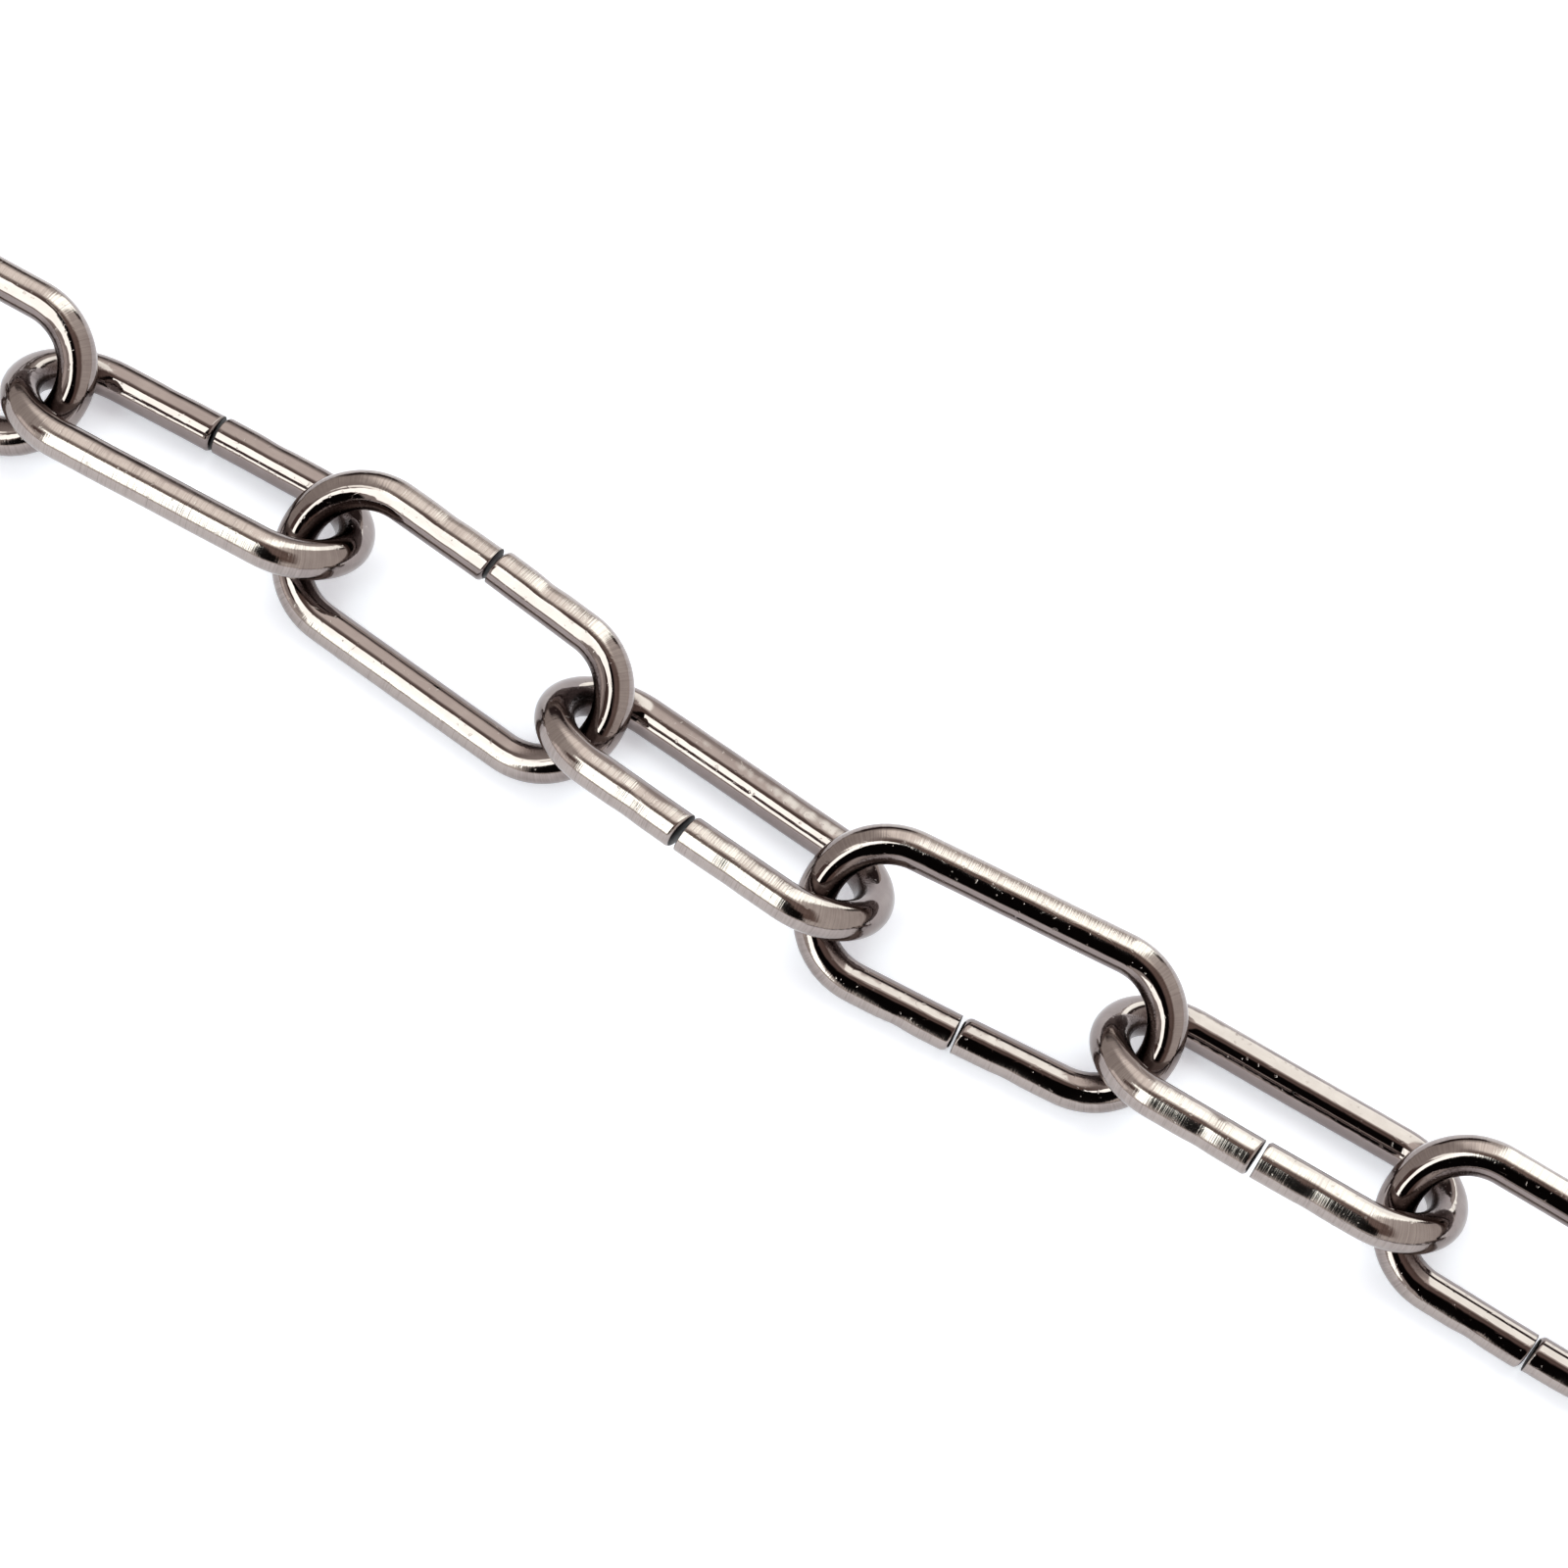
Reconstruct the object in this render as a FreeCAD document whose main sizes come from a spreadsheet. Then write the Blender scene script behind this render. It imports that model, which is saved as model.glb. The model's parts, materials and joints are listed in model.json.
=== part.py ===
"""A length of open-joint long-link chain, laid down in a loose S.

Every link is one piece of round wire, bent to a long oval and closed with a butt joint in the middle of
one leg. The joint isn't welded: a narrow gap stays open, its two ends are slightly rounded where the wire
was cut off, and the half leg that was closed last springs a little outwards. The links hook into each
other and lean in turn to one side and to the other, so each rests on one leg.

Millimetres. +Z is up and the chain lies on Z = 0. +X runs along the straight middle of the chain, and the
origin is on the ground in the middle of the space that the chain covers.
"""
import FreeCAD, Part
import math
import os

import Sketcher

Vector = FreeCAD.Vector
Rotation = FreeCAD.Rotation

# One link's own sizes, and the slack between two links.
SIZES = {
    "wire_diameter": 4.0,      # round wire
    "inner_length": 32.6,      # clear length inside a link, which is the pitch of the tight chain
    "inner_width": 10.3,       # clear width inside a link
    "joint_gap": 0.4,          # between the two ends of the wire
    "joint_spring": 0.3,       # how far the half leg that was closed last stands out at the joint
    "end_rounding": 0.35,      # on the two cut ends
    "hook_play": 0.8,          # slack where two links in line hook into each other
    "bend_play": 0.07,         # more slack for each degree that the next link is turned
}
# How the links lie, from the first to the last: heading from +X, and lean about their long axis, in degrees.
# The outer links curl back on each side, and the leans alternate.
HEADINGS = [-170, -158, -136, -108, -78, -48, -20, 2, 3, -5, -4, 5, 1, 0, -18, -45, -75, -105, -134, -158, -171]
LEANS = [-32, 33, -31, 32, -33, 32, -33, 36, -31, 31, -35, 33, -32, 36, -32, 33, -33, 32, -32, 33, -32]
# Links whose joint is on the far leg, counted from 1.
TURNED_LINKS = {2, 5, 6, 9, 10, 16, 19, 20}
LINK_COUNT = len(HEADINGS)
# A link's volume as a share of its plain wire: the rounded ends take a little away.
LEAST_SHARE, MOST_SHARE = 0.98, 1.01
MIDDLE_LINK = LINK_COUNT // 2

doc = FreeCAD.newDocument("long_link_chain")
sheet = doc.addObject("Spreadsheet::Sheet", "Dimensions")


def fill_sheet():
    """The driving sizes, then what follows from them, then two rows for each link's place."""
    cells = [(name, str(value)) for name, value in SIZES.items()]
    cells += [
        ("wire_radius", "=wire_diameter / 2"),
        ("bend_radius", "=(inner_width + wire_diameter) / 2"),
        ("half_span", "=(inner_length + wire_diameter) / 2 - bend_radius"),
        ("half_gap", "=joint_gap / 2"),
        ("sprung_leg", "=bend_radius + joint_spring"),
    ]
    for index in range(LINK_COUNT):
        cells.append((f"heading_{index + 1:02d}", str(HEADINGS[index])))
        cells.append((f"lean_{index + 1:02d}", str(LEANS[index])))
    for row, (alias, content) in enumerate(cells, start=1):
        sheet.set(f"A{row}", alias)
        sheet.set(f"B{row}", content)
        sheet.setAlias(f"B{row}", alias)
    doc.recompute()


def size(alias):
    return float(sheet.get(alias))


def origin_plane(body, role):
    return next(feature for feature in body.Origin.OriginFeatures if feature.Role == role)


def path_sketch(body):
    """The wire's centreline: straight half leg, bow, whole leg, bow, and the half leg that springs out."""
    radius, span, gap = size("bend_radius"), size("half_span"), size("half_gap")
    spring_angle = math.asin(size("joint_spring") / (span - gap))
    sketch = body.newObject("Sketcher::SketchObject", "WirePath")
    sketch.AttachmentSupport = [(origin_plane(body, "XY_Plane"), "")]
    sketch.MapMode = "FlatFace"

    up = Vector(0, 0, 1)
    right_centre, left_centre = Vector(span, 0, 0), Vector(-span, 0, 0)
    right_circle = Part.Circle(right_centre, up, radius)
    left_circle = Part.Circle(left_centre, up, radius)
    arc_end = 1.5 * math.pi - spring_angle
    arc_end_point = left_centre + Vector(radius * math.cos(arc_end), radius * math.sin(arc_end), 0)
    half_leg, right_bow, whole_leg, left_bow, sprung_half_leg = range(5)
    sketch.addGeometry([
        Part.LineSegment(Vector(gap, -radius, 0), Vector(span, -radius, 0)),
        Part.ArcOfCircle(right_circle, -math.pi / 2, math.pi / 2),
        Part.LineSegment(Vector(span, radius, 0), Vector(-span, radius, 0)),
        Part.ArcOfCircle(left_circle, math.pi / 2, arc_end),
        Part.LineSegment(arc_end_point, Vector(-gap, -size("sprung_leg"), 0)),
    ], False)

    start, end, centre = 1, 2, 3
    x_axis = -1
    for first, second in ((half_leg, right_bow), (right_bow, whole_leg),
                          (whole_leg, left_bow), (left_bow, sprung_half_leg)):
        sketch.addConstraint(Sketcher.Constraint("Tangent", first, end, second, start))
    sketch.addConstraint(Sketcher.Constraint("Horizontal", half_leg))
    sketch.addConstraint(Sketcher.Constraint("PointOnObject", right_bow, centre, x_axis))
    sketch.addConstraint(Sketcher.Constraint("PointOnObject", left_bow, centre, x_axis))
    for name, alias, constraint in (
        ("bend", "bend_radius", Sketcher.Constraint("Radius", right_bow, radius)),
        ("right_span", "half_span", Sketcher.Constraint("DistanceX", -1, 1, right_bow, centre, span)),
        ("left_span", "half_span", Sketcher.Constraint("DistanceX", left_bow, centre, -1, 1, span)),
        ("right_end", "half_gap", Sketcher.Constraint("DistanceX", -1, 1, half_leg, start, gap)),
        ("left_end", "half_gap", Sketcher.Constraint("DistanceX", sprung_half_leg, end, -1, 1, gap)),
        ("spring_out", "sprung_leg",
         Sketcher.Constraint("DistanceY", sprung_half_leg, end, -1, 1, size("sprung_leg"))),
    ):
        number = sketch.addConstraint(constraint)
        sketch.renameConstraint(number, name)
        sketch.setExpression(f"Constraints.{name}", f"{sheet.Name}.{alias}")
    return sketch


def section_sketch(body):
    """The wire's round section, at the start of the straight half leg."""
    sketch = body.newObject("Sketcher::SketchObject", "WireSection")
    sketch.AttachmentSupport = [(origin_plane(body, "YZ_Plane"), "")]
    sketch.MapMode = "FlatFace"
    sketch.AttachmentOffset = FreeCAD.Placement(Vector(0, 0, size("half_gap")), Rotation())
    sketch.setExpression("AttachmentOffset.Base.z", f"{sheet.Name}.half_gap")
    radius, bend = size("wire_radius"), size("bend_radius")
    centre_point = Vector(-bend, 0, 0)
    circle = sketch.addGeometry(Part.Circle(centre_point, Vector(0, 0, 1), radius), False)
    sketch.addConstraint(Sketcher.Constraint("PointOnObject", circle, 3, -1))
    for name, alias, constraint in (
        ("wire", "wire_radius", Sketcher.Constraint("Radius", circle, radius)),
        ("leg", "bend_radius", Sketcher.Constraint("DistanceX", circle, 3, -1, 1, bend)),
    ):
        number = sketch.addConstraint(constraint)
        sketch.renameConstraint(number, name)
        sketch.setExpression(f"Constraints.{name}", f"{sheet.Name}.{alias}")
    return sketch


def end_edges(shape):
    """The names of the two round edges at the cut ends, which are the edges nearest the joint."""
    names = []
    for number, edge in enumerate(shape.Edges, start=1):
        box = edge.BoundBox
        if box.YMax < 0 and max(abs(box.XMin), abs(box.XMax)) < size("wire_radius"):
            names.append(f"Edge{number}")
    return names


def make_link(name):
    """One link, with its long axis along X, its flat side in XY and its joint in the leg at -Y."""
    body = doc.addObject("PartDesign::Body", name)
    body.Label = name
    path = path_sketch(body)
    section = section_sketch(body)
    doc.recompute()
    wire = body.newObject("PartDesign::AdditivePipe", "BentWire")
    wire.Profile = section
    wire.Spine = (path, [f"Edge{number + 1}" for number in range(len(path.Geometry))])
    doc.recompute()
    rounding = body.newObject("PartDesign::Fillet", "RoundedEnds")
    rounding.Base = (wire, end_edges(wire.Shape))
    rounding.Radius = size("end_rounding")
    rounding.setExpression("Radius", f"{sheet.Name}.end_rounding")
    body.Tip = rounding
    return body


def link_rotation(index):
    """Lean about the long axis, then heading about +Z."""
    heading = Rotation(Vector(0, 0, 1), size(f"heading_{index + 1:02d}"))
    lean = Rotation(Vector(1, 0, 0), size(f"lean_{index + 1:02d}"))
    return heading.multiply(lean)


def long_axis(index):
    angle = math.radians(size(f"heading_{index + 1:02d}"))
    return Vector(math.cos(angle), math.sin(angle), 0)


def hook_offset(index):
    """From one link's end bow back to the next link's, centreline to centreline, where they hook."""
    first, second = size(f"heading_{index + 1:02d}"), size(f"heading_{index + 2:02d}")
    depth = size("wire_diameter") + size("hook_play") + size("bend_play") * abs(second - first)
    angle = math.radians((first + second) / 2)
    return Vector(depth * math.cos(angle), depth * math.sin(angle), 0)


def link_centres():
    """Link by link outwards from the middle one. Each rests on the ground with its lower leg."""
    reach = size("half_span") + size("bend_radius")
    centres = [Vector() for _ in range(LINK_COUNT)]
    for index in range(MIDDLE_LINK, LINK_COUNT - 1):
        step = (long_axis(index) + long_axis(index + 1)) * reach - hook_offset(index)
        centres[index + 1] = centres[index] + step
    for index in range(MIDDLE_LINK, 0, -1):
        step = (long_axis(index) + long_axis(index - 1)) * reach - hook_offset(index - 1)
        centres[index - 1] = centres[index] - step
    for index, centre in enumerate(centres):
        lean = size(f"lean_{index + 1:02d}")
        joint_leg_is_down = (lean > 0) != (index + 1 in TURNED_LINKS)
        lower_leg = size("sprung_leg") if joint_leg_is_down else size("bend_radius")
        centre.z = lower_leg * math.sin(math.radians(abs(lean))) + size("wire_radius")
    return centres


def place_links(links):
    """Puts every link in its place, with the origin in the middle of the space that the chain covers.

    A link whose joint is on the far leg is first given half a turn about +Z.
    """
    centres = link_centres()
    half_turn = Rotation(Vector(0, 0, 1), 180)
    for index, link in enumerate(links):
        turn = link_rotation(index)
        if index + 1 in TURNED_LINKS:
            turn = turn.multiply(half_turn)
        link.Placement = FreeCAD.Placement(centres[index], turn)
    doc.recompute()
    boxes = [link.Shape.optimalBoundingBox(False) for link in links]
    middle_x = (min(box.XMin for box in boxes) + max(box.XMax for box in boxes)) / 2
    middle_y = (min(box.YMin for box in boxes) + max(box.YMax for box in boxes)) / 2
    shift = Vector(-middle_x, -middle_y, 0)
    for link, centre in zip(links, centres):
        link.Placement = FreeCAD.Placement(centre + shift, link.Placement.Rotation)
    doc.recompute()
    return [centre + shift for centre in centres]


def print_hinges(centres):
    """Each link swings on the end bow of its neighbour nearer the middle: the bow's tip and its direction."""
    reach = size("half_span") + size("bend_radius")
    for parent in range(LINK_COUNT):
        for child in (parent - 1, parent + 1):
            outwards = abs(child - MIDDLE_LINK) > abs(parent - MIDDLE_LINK)
            if not (0 <= child < LINK_COUNT and outwards):
                continue
            tip = centres[parent] + long_axis(parent) * (reach * (child - parent))
            axis = link_rotation(parent).multVec(Vector(0, 1, 0))
            print(f"hinge link_{parent + 1:02d} link_{child + 1:02d}"
                  f" at {tip.x:.4f} {tip.y:.4f} {tip.z:.4f} along {axis.x:.6f} {axis.y:.6f} {axis.z:.6f}")


def check_and_write(links):
    """Stops on a failed object or a wrong volume, then writes one file for each link."""
    for item in doc.Objects:
        if "Invalid" in item.State or "Error" in item.State:
            raise RuntimeError(f"{item.Name} did not recompute: {item.State}")
    wire_area = math.pi * size("wire_radius") ** 2
    path_length = 2 * math.pi * size("bend_radius") + 4 * size("half_span") - size("joint_gap")
    os.makedirs("parts", exist_ok=True)
    for link in links:
        if link.Shape.isNull() or not link.Shape.isValid() or len(link.Shape.Solids) != 1:
            raise RuntimeError(f"{link.Label} is not one valid solid")
        share = link.Shape.Volume / (wire_area * path_length)
        if not LEAST_SHARE < share < MOST_SHARE:
            raise RuntimeError(f"{link.Label} has {share:.3f} of the volume of its wire")
        link.Shape.exportStep(f"parts/{link.Label}.step")
    print(f"{len(links)} links, each of {wire_area * path_length:.1f} mm3")


fill_sheet()
chain = [make_link(f"link_{index + 1:02d}") for index in range(LINK_COUNT)]
doc.recompute()
middle_points = place_links(chain)
print_hinges(middle_points)
check_and_write(chain)
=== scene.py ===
# %% [markdown]
# # A long-link chain in bent wire
#
# The chain is made of one piece repeated: a length of round wire, cut off, bent to a long oval and closed
# with an open butt joint in the middle of one leg. It is plated in dark nickel and brushed on the outside.
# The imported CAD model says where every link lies. This lesson makes each link again as a finer piece, with
# the marks that cutting, bending and brushing leave, and gives it its finish.

# %% Load the CAD frame
import json
import math
import random

import bpy
import numpy as np
from mathutils import Matrix, Vector


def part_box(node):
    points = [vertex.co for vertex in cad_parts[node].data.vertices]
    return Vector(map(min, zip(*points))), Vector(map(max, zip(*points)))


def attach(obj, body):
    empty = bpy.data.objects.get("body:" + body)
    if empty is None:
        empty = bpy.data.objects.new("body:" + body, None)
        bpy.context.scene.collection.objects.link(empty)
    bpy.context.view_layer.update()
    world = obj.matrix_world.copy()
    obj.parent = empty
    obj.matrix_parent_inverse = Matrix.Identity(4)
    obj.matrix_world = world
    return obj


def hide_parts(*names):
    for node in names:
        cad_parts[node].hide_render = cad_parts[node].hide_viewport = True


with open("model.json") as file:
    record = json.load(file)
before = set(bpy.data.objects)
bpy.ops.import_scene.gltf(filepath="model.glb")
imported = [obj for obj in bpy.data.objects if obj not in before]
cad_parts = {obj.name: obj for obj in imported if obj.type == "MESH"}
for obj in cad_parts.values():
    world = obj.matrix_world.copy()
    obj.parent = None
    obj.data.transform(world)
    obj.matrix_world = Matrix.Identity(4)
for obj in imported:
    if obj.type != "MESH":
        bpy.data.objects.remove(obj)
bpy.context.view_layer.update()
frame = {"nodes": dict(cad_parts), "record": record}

# %% [markdown]
# The sizes of one link, the same as in the CAD part. Blender works in metres, so each is a number of
# millimetres times `MM`. The bows are half circles, and the legs are straight between them.

# %% Sizes of a link
MM = 0.001
WIRE = 4.0 * MM
INNER_LENGTH = 32.6 * MM
INNER_WIDTH = 10.3 * MM
JOINT_GAP = 0.4 * MM
JOINT_SPRING = 0.3 * MM

BEND_RADIUS = (INNER_WIDTH + WIRE) / 2
HALF_SPAN = (INNER_LENGTH + WIRE) / 2 - BEND_RADIUS
SPRING_ANGLE = math.asin(JOINT_SPRING / (HALF_SPAN - JOINT_GAP / 2))
print("bend radius", round(BEND_RADIUS / MM, 2), "mm, half span", round(HALF_SPAN / MM, 2), "mm")

# %% [markdown]
# Node trees get long when every sum is a node placed by hand. `Value` stands for one socket, and its
# operators add the Math node for us, so a formula in the tree reads like a formula on paper. It works in
# Geometry Nodes and in the shader editor alike. `add_node` makes every other kind of node.

# %% Formulas for node trees
class Value:
    """One output socket, which can be used in sums."""

    def __init__(self, tree, socket):
        self.tree, self.socket = tree, socket

    def math(self, operation, *others):
        return add_node(self.tree, "ShaderNodeMath", {"operation": operation}, [self, *others])

    def flipped(self, operation, first):
        return add_node(self.tree, "ShaderNodeMath", {"operation": operation}, [first, self])

    def __add__(self, other): return self.math("ADD", other)
    def __radd__(self, other): return self.math("ADD", other)
    def __sub__(self, other): return self.math("SUBTRACT", other)
    def __rsub__(self, other): return self.flipped("SUBTRACT", other)
    def __mul__(self, other): return self.math("MULTIPLY", other)
    def __rmul__(self, other): return self.math("MULTIPLY", other)
    def __truediv__(self, other): return self.math("DIVIDE", other)
    def __rtruediv__(self, other): return self.flipped("DIVIDE", other)
    def __pow__(self, other): return self.math("POWER", other)

    def between(self, low, high):
        return self.math("MAXIMUM", low).math("MINIMUM", high)

    def ramp(self, start, end):
        """0 up to start, then smoothly up to 1 at end."""
        return add_node(self.tree, "ShaderNodeMapRange", {"interpolation_type": "SMOOTHSTEP"},
                        {"Value": self, "From Min": start, "From Max": end})


def add_node(tree, kind, settings=None, inputs=None, output=0):
    """A node with its settings, then its sockets by number or name. Gives back one of its outputs."""
    node = tree.nodes.new(kind)
    for name, setting in (settings or {}).items():
        setattr(node, name, setting)
    pairs = enumerate(inputs) if isinstance(inputs, list) else (inputs or {}).items()
    for name, value in pairs:
        if isinstance(value, Value):
            tree.links.new(value.socket, node.inputs[name])
        else:
            node.inputs[name].default_value = value
    return Value(tree, node.outputs[output]) if node.outputs else node


def vector(tree, x, y, z):
    return add_node(tree, "ShaderNodeCombineXYZ", None, [x, y, z])


def parts_of(tree, value):
    node = add_node(tree, "ShaderNodeSeparateXYZ", None, [value])
    return [Value(tree, node.socket.node.outputs[number]) for number in range(3)]

# %% [markdown]
# A chain machine starts with straight wire, so the tree does too. A flat grid is rolled into a rod: its
# rows become rings along the wire, and its columns go round it. The rings at both ends close over the cut
# faces. Then the whole rod is bent round the link's path, and every point keeps its place on the straight
# wire as an attribute, which later lets the finish follow the bends. A curve with a round profile would
# also give a bent tube, but not the sheared ends, which are rolled over on one side and sharp on the other.

# %% The tree and its inputs
tree = bpy.data.node_groups.new("bent wire link", "GeometryNodeTree")
tree.is_modifier = True
tree.interface.new_socket("Geometry", in_out="INPUT", socket_type="NodeSocketGeometry")
tree.interface.new_socket("Geometry", in_out="OUTPUT", socket_type="NodeSocketGeometry")

INPUTS = {}
for name, kind, default in (
    ("Wire Diameter", "Float", WIRE),
    ("Bend Radius", "Float", BEND_RADIUS),
    ("Half Span", "Float", HALF_SPAN),
    ("Joint Gap", "Float", JOINT_GAP),
    ("Spring Angle", "Float", SPRING_ANGLE),
    ("Rolled Edge", "Float", 0.8 * MM),
    ("Sharp Edge", "Float", 0.08 * MM),
    ("Face Slope", "Float", 0.0),
    ("Face Lean", "Float", 0.0),
    ("Grip Mark Depth", "Float", 0.12 * MM),
    ("Waviness", "Float", 0.04 * MM),
    ("Rings", "Int", 320),
    ("Sides", "Int", 48),
    ("Seed", "Int", 0),
):
    socket = tree.interface.new_socket(name, in_out="INPUT", socket_type=f"NodeSocket{kind}")
    socket.default_value = default
    INPUTS[name] = socket.identifier
tree.interface.new_socket("Finish", in_out="INPUT", socket_type="NodeSocketMaterial")
INPUTS["Finish"] = tree.interface.items_tree["Finish"].identifier

group_input = tree.nodes.new("NodeGroupInput")
size = {name: Value(tree, group_input.outputs[name]) for name in INPUTS}
print("inputs:", ", ".join(INPUTS))

# %% [markdown]
# First the rod. `FACE_ROWS` rings shrink to the middle of the cut face, and `EDGE_ROWS` rings turn round its
# edge. The edge is tight on the side where the shears came through and wide where the wire was pressed
# over: on the inside of the link at one end, and on the outside at the other.

# %% Roll the rod and close its ends
FACE_ROWS, EDGE_ROWS = 4, 8
END_ROWS = FACE_ROWS + EDGE_ROWS
EDGE_DEPTH_SHARE = 0.8

last_row = size["Rings"] + 2 * END_ROWS - 1
grid = add_node(tree, "GeometryNodeMeshGrid", None,
                {"Size X": 1.0, "Size Y": 1.0, "Vertices X": last_row + 1, "Vertices Y": size["Sides"] + 1})
place = add_node(tree, "GeometryNodeInputPosition")
across_x, across_y, _ = parts_of(tree, place)
row = ((across_x + 0.5) * last_row).math("ROUND")
turn = (0.5 - across_y) * (2 * math.pi)
round_cos, round_sin = turn.math("COSINE"), turn.math("SINE")

wire_radius = size["Wire Diameter"] / 2
first_leg = size["Half Span"] - size["Joint Gap"] / 2
bow_length = size["Bend Radius"] * math.pi
bow_start_1 = first_leg
bow_end_1 = bow_start_1 + bow_length
bow_start_2 = bow_end_1 + size["Half Span"] * 2
bow_end_2 = bow_start_2 + bow_length - size["Bend Radius"] * size["Spring Angle"]
spring_cos, spring_sin = size["Spring Angle"].math("COSINE"), size["Spring Angle"].math("SINE")
last_leg = (size["Half Span"] - size["Joint Gap"] / 2 - size["Bend Radius"] * spring_sin) / spring_cos
wire_length = bow_end_2 + last_leg


def cut_end(rows_in, rolled_side):
    """How far a ring is drawn in from the cut face, and its radius there."""
    edge_share = (0.5 + 0.5 * rolled_side * round_cos) ** 1.5
    edge = size["Sharp Edge"] + (size["Rolled Edge"] - size["Sharp Edge"]) * edge_share
    face_share = (rows_in / FACE_ROWS).between(0.0, 1.0)
    edge_turn = ((rows_in - FACE_ROWS) / EDGE_ROWS).between(0.0, 1.0) * (math.pi / 2)
    drawn_in = edge * EDGE_DEPTH_SHARE * (1 - edge_turn.math("COSINE"))
    radius = (wire_radius - edge) * face_share + edge * edge_turn.math("SINE")
    return drawn_in, radius


start_in, start_radius = cut_end(row, 1.0)
finish_in, finish_radius = cut_end(last_row - row, -1.0)
share = ((row - END_ROWS) / (size["Rings"] - 1)).between(0.0, 1.0)
along = start_in + (wire_length - start_in - finish_in) * share
ring_radius = start_radius.math("MINIMUM", finish_radius)
print("the rod takes", len(tree.nodes), "nodes")

# %% [markdown]
# The closing tool grips each half leg between the bow and the joint, and leaves a shallow flat on the
# outside. The wire is also never quite straight, except close to its ends. Both are a small fraction of a
# millimetre, but they make a reflection wander, and a rod without them looks like plastic pipe. The shears
# don't always cut square. One face takes more of the tilt than the other, which makes the gap a wedge.

# %% Grip marks, waviness and the slope of the cut faces
GRIP_LENGTH = 1.3 * MM
GRIP_PLACE = 0.52
FIRST_GRIP_SHARE = 0.7
WAVE_LENGTH = 7 * MM
WAVE_SHIFT_PER_LINK = 3.7
SETTLING_LENGTH = 3 * MM


def grip_mark(middle):
    away = (along - middle) / GRIP_LENGTH
    return (away * away * -1.0).math("EXPONENT")


outer_share = (0.5 - 0.5 * round_cos) ** 2.0
grips = grip_mark(first_leg * GRIP_PLACE) * FIRST_GRIP_SHARE + grip_mark(wire_length - last_leg * GRIP_PLACE)
uneven = add_node(tree, "ShaderNodeTexNoise", {"noise_dimensions": "3D"},
                  {"Vector": vector(tree, along / WAVE_LENGTH, size["Seed"] * WAVE_SHIFT_PER_LINK, 0.0),
                   "Scale": 1.0, "Detail": 1.0}, output=1)
uneven_x, uneven_y, _ = parts_of(tree, uneven)
settled = ((along / SETTLING_LENGTH).between(0.0, 1.0)
           * ((wire_length - along) / SETTLING_LENGTH).between(0.0, 1.0))
radius = ring_radius - size["Grip Mark Depth"] * grips * outer_share
inward = radius * round_cos + (uneven_x - 0.5) * size["Waviness"] * 2 * settled
upward = radius * round_sin + (uneven_y - 0.5) * size["Waviness"] * 2 * settled

from_end = along.math("MINIMUM", wire_length - along)
START_SHARE, FINISH_SHARE, SHEARED_LENGTH = 0.4, 1.0, 2.5 * MM
slope_share = ((1 - along / SHEARED_LENGTH).between(0.0, 1.0) * START_SHARE
               + (1 - (wire_length - along) / SHEARED_LENGTH).between(0.0, 1.0) * FINISH_SHARE)
sheared = along + (inward * size["Face Slope"] + upward * size["Face Lean"]) * slope_share
print("with its marks and cuts,", len(tree.nodes), "nodes")

# %% [markdown]
# Now the bend. The heading of the wire turns by half a circle in each bow, and stops a little short at the
# end of the second one, so that the last half leg springs outwards. Adding up the runs and arcs gives the
# centreline, and each point is set off from it by its place in the rod's section.

# %% Bend the rod round the link
turned_1 = ((sheared - bow_start_1) / size["Bend Radius"]).between(0.0, math.pi)
turned_2 = ((sheared - bow_start_2) / size["Bend Radius"]).between(0.0, math.pi - size["Spring Angle"])
heading = turned_1 + turned_2
whole_leg_run = (sheared - bow_end_1).between(0.0, size["Half Span"] * 2)
last_run = (sheared - bow_end_2).math("MAXIMUM", 0.0)
centre_x = (size["Joint Gap"] / 2 + sheared.math("MINIMUM", bow_start_1)
            + size["Bend Radius"] * turned_1.math("SINE") - whole_leg_run
            - size["Bend Radius"] * turned_2.math("SINE") + last_run * spring_cos)
centre_y = (size["Bend Radius"] * (turned_2.math("COSINE") - turned_1.math("COSINE") - 1)
            - last_run * spring_sin)
bent = vector(tree,
              centre_x - inward * heading.math("SINE"),
              centre_y + inward * heading.math("COSINE"),
              upward)
print("and bent,", len(tree.nodes), "nodes")

# %% [markdown]
# The finish needs to know three things at each point: its place on the straight wire in millimetres, how
# far it is from a cut end, and whether it is in a bow. They are stored as attributes. The wire's place gets
# a different offset in each link, so that no two links carry the same scratches.

# %% Store what the finish needs, and finish the mesh
OFFSET_PER_LINK = 137.0
MERGE_DISTANCE = 0.002 * MM


def store(geometry, name, kind, value):
    return add_node(tree, "GeometryNodeStoreNamedAttribute", {"data_type": kind, "domain": "POINT"},
                    {"Geometry": geometry, "Name": name, "Value": value})


wire_place = vector(tree, along / MM + size["Seed"] * OFFSET_PER_LINK,
                    ring_radius * round_cos / MM, ring_radius * round_sin / MM)
geometry = store(grid, "wire_place", "FLOAT_VECTOR", wire_place)
geometry = store(geometry, "from_end", "FLOAT", from_end / MM)
geometry = store(geometry, "in_bow", "FLOAT", heading.math("SINE").math("ABSOLUTE"))
geometry = add_node(tree, "GeometryNodeSetPosition", None, {"Geometry": geometry, "Position": bent})
geometry = add_node(tree, "GeometryNodeMergeByDistance", None,
                    {"Geometry": geometry, "Distance": MERGE_DISTANCE})
geometry = add_node(tree, "GeometryNodeSetShadeSmooth", None, {"Geometry": geometry})
geometry = add_node(tree, "GeometryNodeRealizeInstances", None, {"Geometry": geometry})
geometry = add_node(tree, "GeometryNodeSetMaterial", None,
                    {"Geometry": geometry, "Material": size["Finish"]})
output = tree.nodes.new("NodeGroupOutput")
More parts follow.
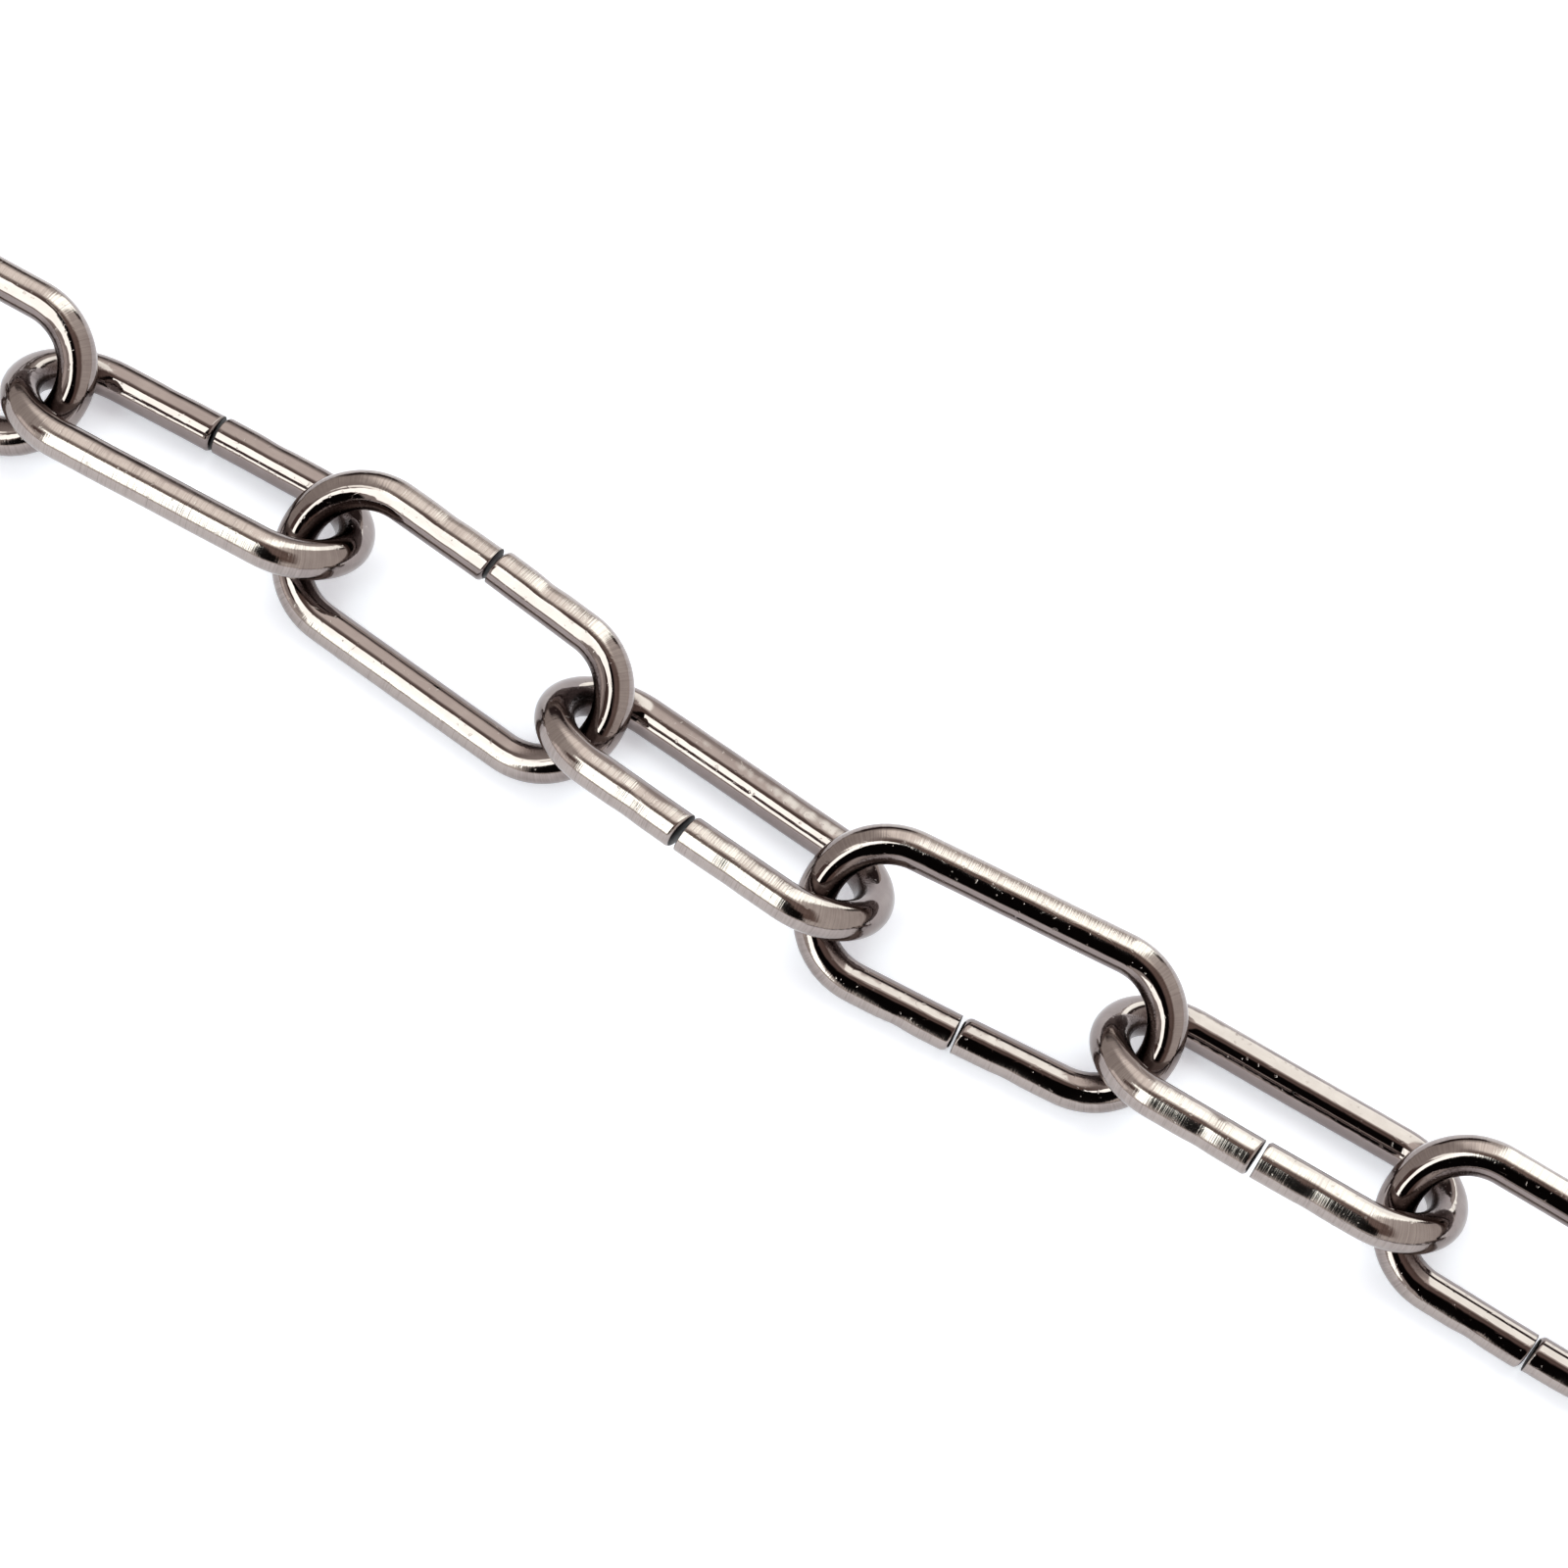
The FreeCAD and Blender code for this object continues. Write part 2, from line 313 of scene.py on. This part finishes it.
tree.links.new(geometry.socket, output.inputs[0])
print("the tree has", len(tree.nodes), "nodes")

# %% [markdown]
# The finish. Black nickel is a dark, slightly warm mirror. All of it reads the wire's own place, so lines
# and patches turn with the bows. `noise` stretches its features along the wire or round it: a high number
# along the wire and a low one round it gives fine lines that run round the wire.

# %% The finish and its noise
WIRE_RADIUS_MM = WIRE / MM / 2

finish = bpy.data.materials.new("brushed_black_nickel")
finish.use_nodes = True
shader_tree = finish.node_tree
shader_tree.nodes.clear()


def attribute(name, output):
    return add_node(shader_tree, "ShaderNodeAttribute", {"attribute_name": name}, None, output=output)


def noise(along_scale, round_scale, detail, roughness=0.5):
    """Noise with so many features to a millimetre along the wire and round it."""
    where = vector(shader_tree, wire_x * along_scale, wire_y * round_scale, wire_z * round_scale)
    return add_node(shader_tree, "ShaderNodeTexNoise", {"noise_dimensions": "3D"},
                    {"Vector": where, "Scale": 1.0, "Detail": detail, "Roughness": roughness})


def mix_colours(factor, first, second):
    return add_node(shader_tree, "ShaderNodeMix", {"data_type": "RGBA"},
                    {"Factor": factor, 6: first, 7: second}, output=2)


wire_x, wire_y, wire_z = parts_of(shader_tree, attribute("wire_place", 1))
from_cut = attribute("from_end", 2)
in_bow = attribute("in_bow", 2)
print("the finish is called", finish.name)

# %% [markdown]
# The chain is brushed after it is made, so the brush reaches the outer flank of the legs, a little of the
# bows, and nothing inside. The inside of a bow is grainier, and its colour is darkened there as painted
# shade, for the shadowed floor and neighbouring links that it reflects. The cut faces are dark and rough.

# %% Where the wire is brushed, grainy and darkened with painted shade, or cut
outside = wire_y / -WIRE_RADIUS_MM
patches = noise(0.25, 0.6, 3.0)
brushed = (outside + (patches - 0.5) * 1.1).ramp(0.0, 0.45) * (1 - in_bow * 0.8)
# Inside the bows: grainier relief and roughness, and the mask for the painted shade that darkens the colour
# there.
shaded_and_grainy_inside = (wire_y / WIRE_RADIUS_MM + (patches - 0.5) * 0.6).ramp(0.25, 0.75) * in_bow.ramp(0.12, 0.5)
cut_face = 1 - from_cut.ramp(0.02, 0.12)
print("the masks take", len(shader_tree.nodes), "nodes")

# %% [markdown]
# The relief is a height of a few thousandths of a millimetre, which a Bump node turns into a tilt.
# Lines come from the brush, and faint ones along the wire from the drawing die. The plate has shallow
# orange peel, a few pits, and low ledges where it is thicker.

# %% Relief
MICRON = 0.001 * MM
FINE_DEPTH, COARSE_DEPTH, UNBRUSHED_SHARE = 12.0 * MICRON, 3.0 * MICRON, 0.03
PEEL_DEPTH, DRAWN_DEPTH, LEDGE_DEPTH, PIT_DEPTH = 15.0 * MICRON, 2.5 * MICRON, 2.5 * MICRON, 5.0 * MICRON
GRAIN_DEPTH, CUT_DEPTH = 18.0 * MICRON, 20.0 * MICRON

fine_lines = noise(6.5, 0.10, 2.0, 0.6)
coarse_lines = noise(2.3, 0.10, 2.0, 0.6)
drawn_lines = noise(0.08, 3.5, 2.0)
peel = noise(0.7, 0.7, 1.0)
grains = noise(5.0, 5.0, 1.0)
pits = noise(2.4, 2.4, 0.0).ramp(0.76, 0.82)
ledges = (noise(0.20, 0.6, 0.5) - 0.55).ramp(0.0, 0.010)

line_depth = UNBRUSHED_SHARE + (1 - UNBRUSHED_SHARE) * brushed
height = ((fine_lines * FINE_DEPTH + coarse_lines * COARSE_DEPTH) * line_depth
          + peel * PEEL_DEPTH + drawn_lines * DRAWN_DEPTH + grains * shaded_and_grainy_inside * GRAIN_DEPTH
          - pits * PIT_DEPTH - ledges * LEDGE_DEPTH + grains * cut_face * CUT_DEPTH)
bump = add_node(shader_tree, "ShaderNodeBump", None, {"Strength": 1.0, "Distance": 1.0, "Height": height})
print("with the relief,", len(shader_tree.nodes), "nodes")

# %% [markdown]
# A metal has no colour but that of its reflections, so `Base Color` is how much it reflects. The brushed
# lines reflect more, and cut faces less. The inside of the bows is darkened as painted shade. The polished
# side is almost a mirror.

# %% Colour and roughness
POLISHED_PLATE, BRUSHED_PLATE = (0.205, 0.170, 0.162, 1.0), (0.335, 0.292, 0.272, 1.0)
# The first colour here is painted shade for the inside of the bows; the second is the cut wire's own colour.
PAINTED_SHADE_INSIDE, CUT_WIRE = (0.040, 0.024, 0.022, 1.0), (0.015, 0.012, 0.011, 1.0)
POLISHED_ROUGHNESS, BRUSHED_ROUGHNESS, TONE_ROUGHNESS = 0.04, 0.09, 0.03
PIT_ROUGHNESS, INNER_BOW_ROUGHNESS, CUT_ROUGHNESS = 0.15, 0.12, 0.4

tone = noise(0.5, 0.6, 3.0)
line_share = brushed * (fine_lines * 1.1 + coarse_lines * 0.5 - 0.35)
colour = mix_colours((tone * 0.4 + line_share).ramp(0.10, 0.75), POLISHED_PLATE, BRUSHED_PLATE)
# Painted shade: the inside of the bows is darkened, for the shadowed floor and links that it reflects.
colour = mix_colours(shaded_and_grainy_inside * (0.35 + grains * 0.8).between(0.0, 0.95), colour, PAINTED_SHADE_INSIDE)
colour = mix_colours(cut_face, colour, CUT_WIRE)
roughness = (POLISHED_ROUGHNESS + brushed * BRUSHED_ROUGHNESS + (tone - 0.5) * TONE_ROUGHNESS
             + pits * PIT_ROUGHNESS + shaded_and_grainy_inside * INNER_BOW_ROUGHNESS + cut_face * CUT_ROUGHNESS)

surface = add_node(shader_tree, "ShaderNodeBsdfPrincipled", None,
                   {"Metallic": 1.0, "Roughness": roughness, "Base Color": colour, "Normal": bump})
material_output = shader_tree.nodes.new("ShaderNodeOutputMaterial")
shader_tree.links.new(surface.socket, material_output.inputs["Surface"])
print("the finish has", len(shader_tree.nodes), "nodes")

# %% [markdown]
# Each CAD link says where its piece goes. A link is flat, so the thinnest direction of its points is its
# normal. Its long axis is level, because every link rests on one leg. The cut ends are the only points in
# the middle of a leg, and they show on which side the joint is.

# %% Where each link lies
def link_matrix(node):
    points = np.array([vertex.co for vertex in node.data.vertices])
    corners = np.array([list(face.vertices) for face in node.data.polygons])
    a, b, c = (points[corners[:, number]] for number in range(3))
    weights = np.linalg.norm(np.cross(b - a, c - a), axis=1)
    middles = (a + b + c) / 3
    centre = np.average(middles, axis=0, weights=weights)
    spread = np.cov((middles - centre).T, aweights=weights)
    normal = Vector(np.linalg.eigh(spread)[1][:, 0])
    if normal.z < 0:
        normal.negate()
    long_axis = Vector((0, 0, 1)).cross(normal).normalized()
    across = normal.cross(long_axis)
    turned = (points - centre) @ np.array([long_axis, across, normal]).T
    in_leg_middle = np.abs(turned[:, 0]) < WIRE / 3
    if turned[in_leg_middle, 1].mean() > 0:
        long_axis, across, turned = -long_axis, -across, turned * (-1, -1, 1)
    low, high = turned.min(0), turned.max(0)
    local = Vector(((low[0] + high[0]) / 2, high[1] - BEND_RADIUS - WIRE / 2, (low[2] + high[2]) / 2))
    axes = Matrix([long_axis, across, normal]).transposed()
    middle = Vector(centre) + axes @ local
    return Matrix.Translation(middle) @ axes.to_4x4(), high[0] - low[0]


places = {}
for name in sorted(frame["nodes"]):
    places[name], length = link_matrix(frame["nodes"][name])
print("the CAD links are", round(length / MM, 2), "mm long, and these are",
      round((INNER_LENGTH + 2 * WIRE) / MM, 2), "mm")

# %% [markdown]
# Every link comes out of the same tree, with its own seed and slightly different cut ends: given one by one
# for the links in the middle of the chain, and drawn by chance, from a fixed seed, for the rest. The
# modifier's result is turned into a plain mesh, which is moved to its place point by point, so that the
# object itself stays at the origin.

# %% Make the links
def plain_mesh(name, values):
    """The result of the tree as a mesh of its own."""
    holder = bpy.data.objects.new("holder", bpy.data.meshes.new("holder"))
    bpy.context.scene.collection.objects.link(holder)
    modifier = holder.modifiers.new("link", "NODES")
    modifier.node_group = tree
    for input_name, value in values.items():
        modifier[INPUTS[input_name]] = value
    depsgraph = bpy.context.evaluated_depsgraph_get()
    mesh = bpy.data.meshes.new_from_object(holder.evaluated_get(depsgraph), depsgraph=depsgraph)
    mesh.name = name
    bpy.data.objects.remove(holder)
    return mesh


# Gap and rolled edge in millimetres, then slope and lean of the cut faces in degrees.
JOINTS = {"link_09": (0.14, 0.7, 3, 3), "link_10": (0.06, 0.8, 0, 1), "link_11": (0.18, 0.6, 7, 4),
          "link_12": (0.08, 1.0, -3, 0), "link_13": (0.14, 0.7, 3, 1), "link_14": (0.14, 0.7, 3, 1)}

chance = random.Random(7)
pieces = {}
for number, name in enumerate(sorted(places), start=1):
    by_chance = (chance.uniform(0.22, 0.32), chance.uniform(0.4, 0.9),
                 chance.uniform(-6, 6), chance.uniform(0, 5))
    gap, rolled, slope, lean = JOINTS.get(name, by_chance)
    mesh = plain_mesh(f"{name}_wire", {
        "Joint Gap": gap * MM,
        "Spring Angle": SPRING_ANGLE * chance.uniform(0.5, 1.0),
        "Rolled Edge": rolled * MM,
        "Face Slope": math.tan(math.radians(slope)),
        "Face Lean": math.tan(math.radians(lean)),
        "Grip Mark Depth": chance.uniform(0.06, 0.16) * MM,
        "Seed": number,
        "Finish": finish,
    })
    mesh.transform(places[name])
    piece = bpy.data.objects.new(f"{name}_wire", mesh)
    bpy.context.scene.collection.objects.link(piece)
    pieces[name] = piece
triangles = sum(len(face.vertices) - 2 for face in mesh.polygons)
print(len(pieces), "links of", triangles, "triangles")

# %% [markdown]
# The links must lie exactly where the CAD links do, or a hook would run through its neighbour. The boxes
# of both are compared, and the signed volume shows that the faces point outwards.

# %% Check the links against the CAD
def signed_volume(mesh):
    mesh.calc_loop_triangles()
    points = np.array([vertex.co for vertex in mesh.vertices])
    corners = np.array([triangle.vertices for triangle in mesh.loop_triangles])
    a, b, c = (points[corners[:, number]] for number in range(3))
    return float(np.einsum("ij,ij->i", a, np.cross(b, c)).sum() / 6)


worst = 0.0
for name, piece in pieces.items():
    points = np.array([vertex.co for vertex in piece.data.vertices])
    low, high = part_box(name)
    worst = max(worst, np.abs(points.min(0) - low).max(), np.abs(points.max(0) - high).max())
print("boxes differ by at most", round(worst / MM, 3), "mm; a link's volume is",
      round(signed_volume(piece.data) / MM ** 3, 1), "mm3")

# %% [markdown]
# The chain lies on white paper. It is a large plane, so that the paper fills the view from most sides. It
# gives off a little light of its own, as paper that is lit from below does, which keeps the shadows faint.

# %% White paper
FLOOR_SIZE = 6.0
PAPER_COLOUR, GLOW_COLOUR, GLOW_STRENGTH = (0.87, 0.89, 0.96, 1.0), (0.93, 0.95, 1.0, 1.0), 0.38

floor_mesh = bpy.data.meshes.new("paper")
half = FLOOR_SIZE / 2
floor_mesh.from_pydata([(-half, -half, 0), (half, -half, 0), (half, half, 0), (-half, half, 0)], [],
                       [(0, 1, 2, 3)])
floor = bpy.data.objects.new("paper", floor_mesh)
bpy.context.scene.collection.objects.link(floor)
paper = bpy.data.materials.new("white_paper")
paper.use_nodes = True
paper_shader = paper.node_tree.nodes["Principled BSDF"]
paper_shader.inputs["Base Color"].default_value = PAPER_COLOUR
paper_shader.inputs["Roughness"].default_value = 0.9
paper_shader.inputs["Specular IOR Level"].default_value = 0.1
paper_shader.inputs["Emission Color"].default_value = GLOW_COLOUR
paper_shader.inputs["Emission Strength"].default_value = GLOW_STRENGTH
floor_mesh.materials.append(paper)
print("paper of", FLOOR_SIZE, "m")

# %% [markdown]
# Polished wire shows its surroundings more than its own colour, so the room matters more here than a lamp.
# It is a pale tent with two long bright strips, one behind the chain and one to the front left, and a dark
# opening in front for the camera. The whole room is painted in the world shader, by direction. Lamps would
# light the chain too, but each band of light along the wire is the picture of a strip, and here its edges
# and brightness can be set directly. The camera itself sees a plain pale sky instead.

# %% The room
def direction(azimuth, elevation):
    """A unit vector: azimuth from +X towards +Y, and elevation above the floor, in degrees."""
    a, e = math.radians(azimuth), math.radians(elevation)
    return Vector((math.cos(a) * math.cos(e), math.sin(a) * math.cos(e), math.sin(e)))


world = bpy.data.worlds.new("room")
bpy.context.scene.world = world
world.use_nodes = True
room = world.node_tree
room.nodes.clear()
looking = add_node(room, "ShaderNodeTexCoord", None, None, output=0)


def along_axis(axis):
    return add_node(room, "ShaderNodeVectorMath", {"operation": "DOT_PRODUCT"},
                    [looking, tuple(axis)], output=1)


def panel(low_end, high_end, width, softness):
    """A mask: 1 on a long panel between two directions, with soft edges. Width and softness in degrees."""
    low, high = direction(*low_end), direction(*high_end)
    middle = (low + high).normalized()
    across = low.cross(high).normalized()
    upwards = across.cross(middle)
    depth = along_axis(middle).math("MAXIMUM", 0.001)
    half_width = math.tan(math.radians(width / 2))
    half_length = math.tan(low.angle(high) / 2)
    soft = math.tan(math.radians(softness))
    sideways = (along_axis(across) / depth).math("ABSOLUTE")
    lengthways = (along_axis(upwards) / depth).math("ABSOLUTE")
    return ((1 - sideways.ramp(half_width - soft, half_width + soft))
            * (1 - lengthways.ramp(half_length - soft, half_length + soft))
            * along_axis(middle).ramp(0.0, 0.02))


def paint(under, mask, colour):
    return add_node(room, "ShaderNodeMix", {"data_type": "RGBA"},
                    {6: under, 7: (*colour, 1.0), "Factor": mask}, output=2)


to_the_right = along_axis((1, 0, 0))
behind = along_axis((0, 1, 0))
overhead = along_axis((0, 0, 1))
BLACK, BROWN = (0.008, 0.006, 0.006), (0.30, 0.215, 0.185)
LEFT_WALL, RIGHT_WALL = (0.74, 0.68, 0.64), (1.06, 1.0, 0.95)
ROOF_IN_FRONT, ROOF_BEHIND = (0.34, 0.27, 0.24), (1.60, 1.52, 1.42)
PLAIN_SKY = (0.92, 0.92, 0.93)

tent = paint((*LEFT_WALL, 1.0), to_the_right.ramp(-0.95, 0.1), RIGHT_WALL)
tent = paint(tent, overhead.ramp(0.86, 0.99), ROOF_IN_FRONT)
tent = paint(tent, overhead.ramp(0.86, 0.99) * behind.ramp(0.0, 0.2), ROOF_BEHIND)

# Each panel: its low end and high end, its width and softness in degrees, and its brightness in red, green
# and blue. Later ones cover earlier ones.
PANELS = (
    ((118, 30), (102, 84), 34, 10, (2.0, 1.93, 1.82)),  # soft glow behind, left of the strip
    ((104, 5), (146, 5), 26, 5, (0.07, 0.05, 0.048)),  # dark low down behind, on the left
    ((-157, 12), (-123, 12), 15, 3, (1.55, 1.46, 1.40)),  # pale low down at the front left
    ((84, -8), (89, 79), 17, 1.5, (3.8, 4.15, 3.95)),  # the bright strip behind
    ((68, 4), (78, 4), 34, 3, (0.10, 0.075, 0.07)),  # dark low down, right of that strip
    ((-66, 24), (-44, 84), 54, 8, BROWN),  # brown, high at the front right
    ((-75, 5), (-87, 74), 31, 1.0, BLACK),  # the black opening for the camera
    ((-50, 48), (-47, 82), 18, 4, (0.36, 0.27, 0.24)),  # a paler patch in that brown
    ((-144, 33), (-119, 44), 17, 2.0, (0.20, 0.135, 0.12)),  # brown at the front left
    ((-147, 55), (-118, 62), 8, 1.5, (3.9, 4.2, 4.0)),  # a short bright bar above it
    ((-104, 9), (-119, 68), 14.5, 0.5, (5.0, 5.5, 5.3)),  # the bright strip to the front left
)
for low_end, high_end, width, softness, brightness in PANELS:
    tent = paint(tent, panel(low_end, high_end, width, softness), brightness)
background = add_node(room, "ShaderNodeBackground", None, {"Color": tent, "Strength": 1.0})
plain = add_node(room, "ShaderNodeBackground", None, {"Color": (*PLAIN_SKY, 1.0), "Strength": 1.0})
seen = add_node(room, "ShaderNodeLightPath", None, None, output=0)
shown = add_node(room, "ShaderNodeMixShader", None, {0: seen, 1: background, 2: plain})
world_output = room.nodes.new("ShaderNodeOutputWorld")
room.links.new(shown.socket, world_output.inputs["Surface"])
bpy.context.scene.view_settings.view_transform = "Standard"
print("the room has", len(room.nodes), "nodes")

# %% [markdown]
# The camera stands high in front of the chain, a little to the right, and is rolled, so that the chain
# runs down across the picture.

# %% Camera
SENSOR_WIDTH_MM, LENS_MM = 36.0, 121.05
AZIMUTH, ELEVATION, ROLL = (math.radians(angle) for angle in (14.40, 63.67, -17.71))
LOOK_AT = Vector((2.15, 6.34, 0.0)) * MM
DISTANCE = 521.9 * MM

back = Vector((math.sin(AZIMUTH) * math.cos(ELEVATION), -math.cos(AZIMUTH) * math.cos(ELEVATION),
               math.sin(ELEVATION)))
level = Vector((0, 0, 1)).cross(back).normalized()
upright = back.cross(level)
right = level * math.cos(ROLL) - upright * math.sin(ROLL)
up = back.cross(right)
camera_data = bpy.data.cameras.new("camera")
camera_data.sensor_width = SENSOR_WIDTH_MM
camera_data.lens = LENS_MM
camera_data.clip_start = 10 * MM
camera = bpy.data.objects.new("camera", camera_data)
turned = Matrix([right, up, back]).transposed().to_4x4()
camera.matrix_world = Matrix.Translation(LOOK_AT + back * DISTANCE) @ turned
bpy.context.scene.collection.objects.link(camera)
bpy.context.scene.camera = camera
print("the camera is", round(DISTANCE / MM), "mm from the chain")

# %% [markdown]
# Last, each piece is tied to the CAD body that it rides on and hides the CAD link that it stands for.

# %% Ride on the CAD bodies
bodies = frame["record"]["behaviour"]["bodies"]
body_of_node = {node: body for body, nodes in bodies.items() for node in nodes}
for name, piece in pieces.items():
    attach(piece, body_of_node[name])
    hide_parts(name)
print(len(pieces), "pieces ride on their bodies")
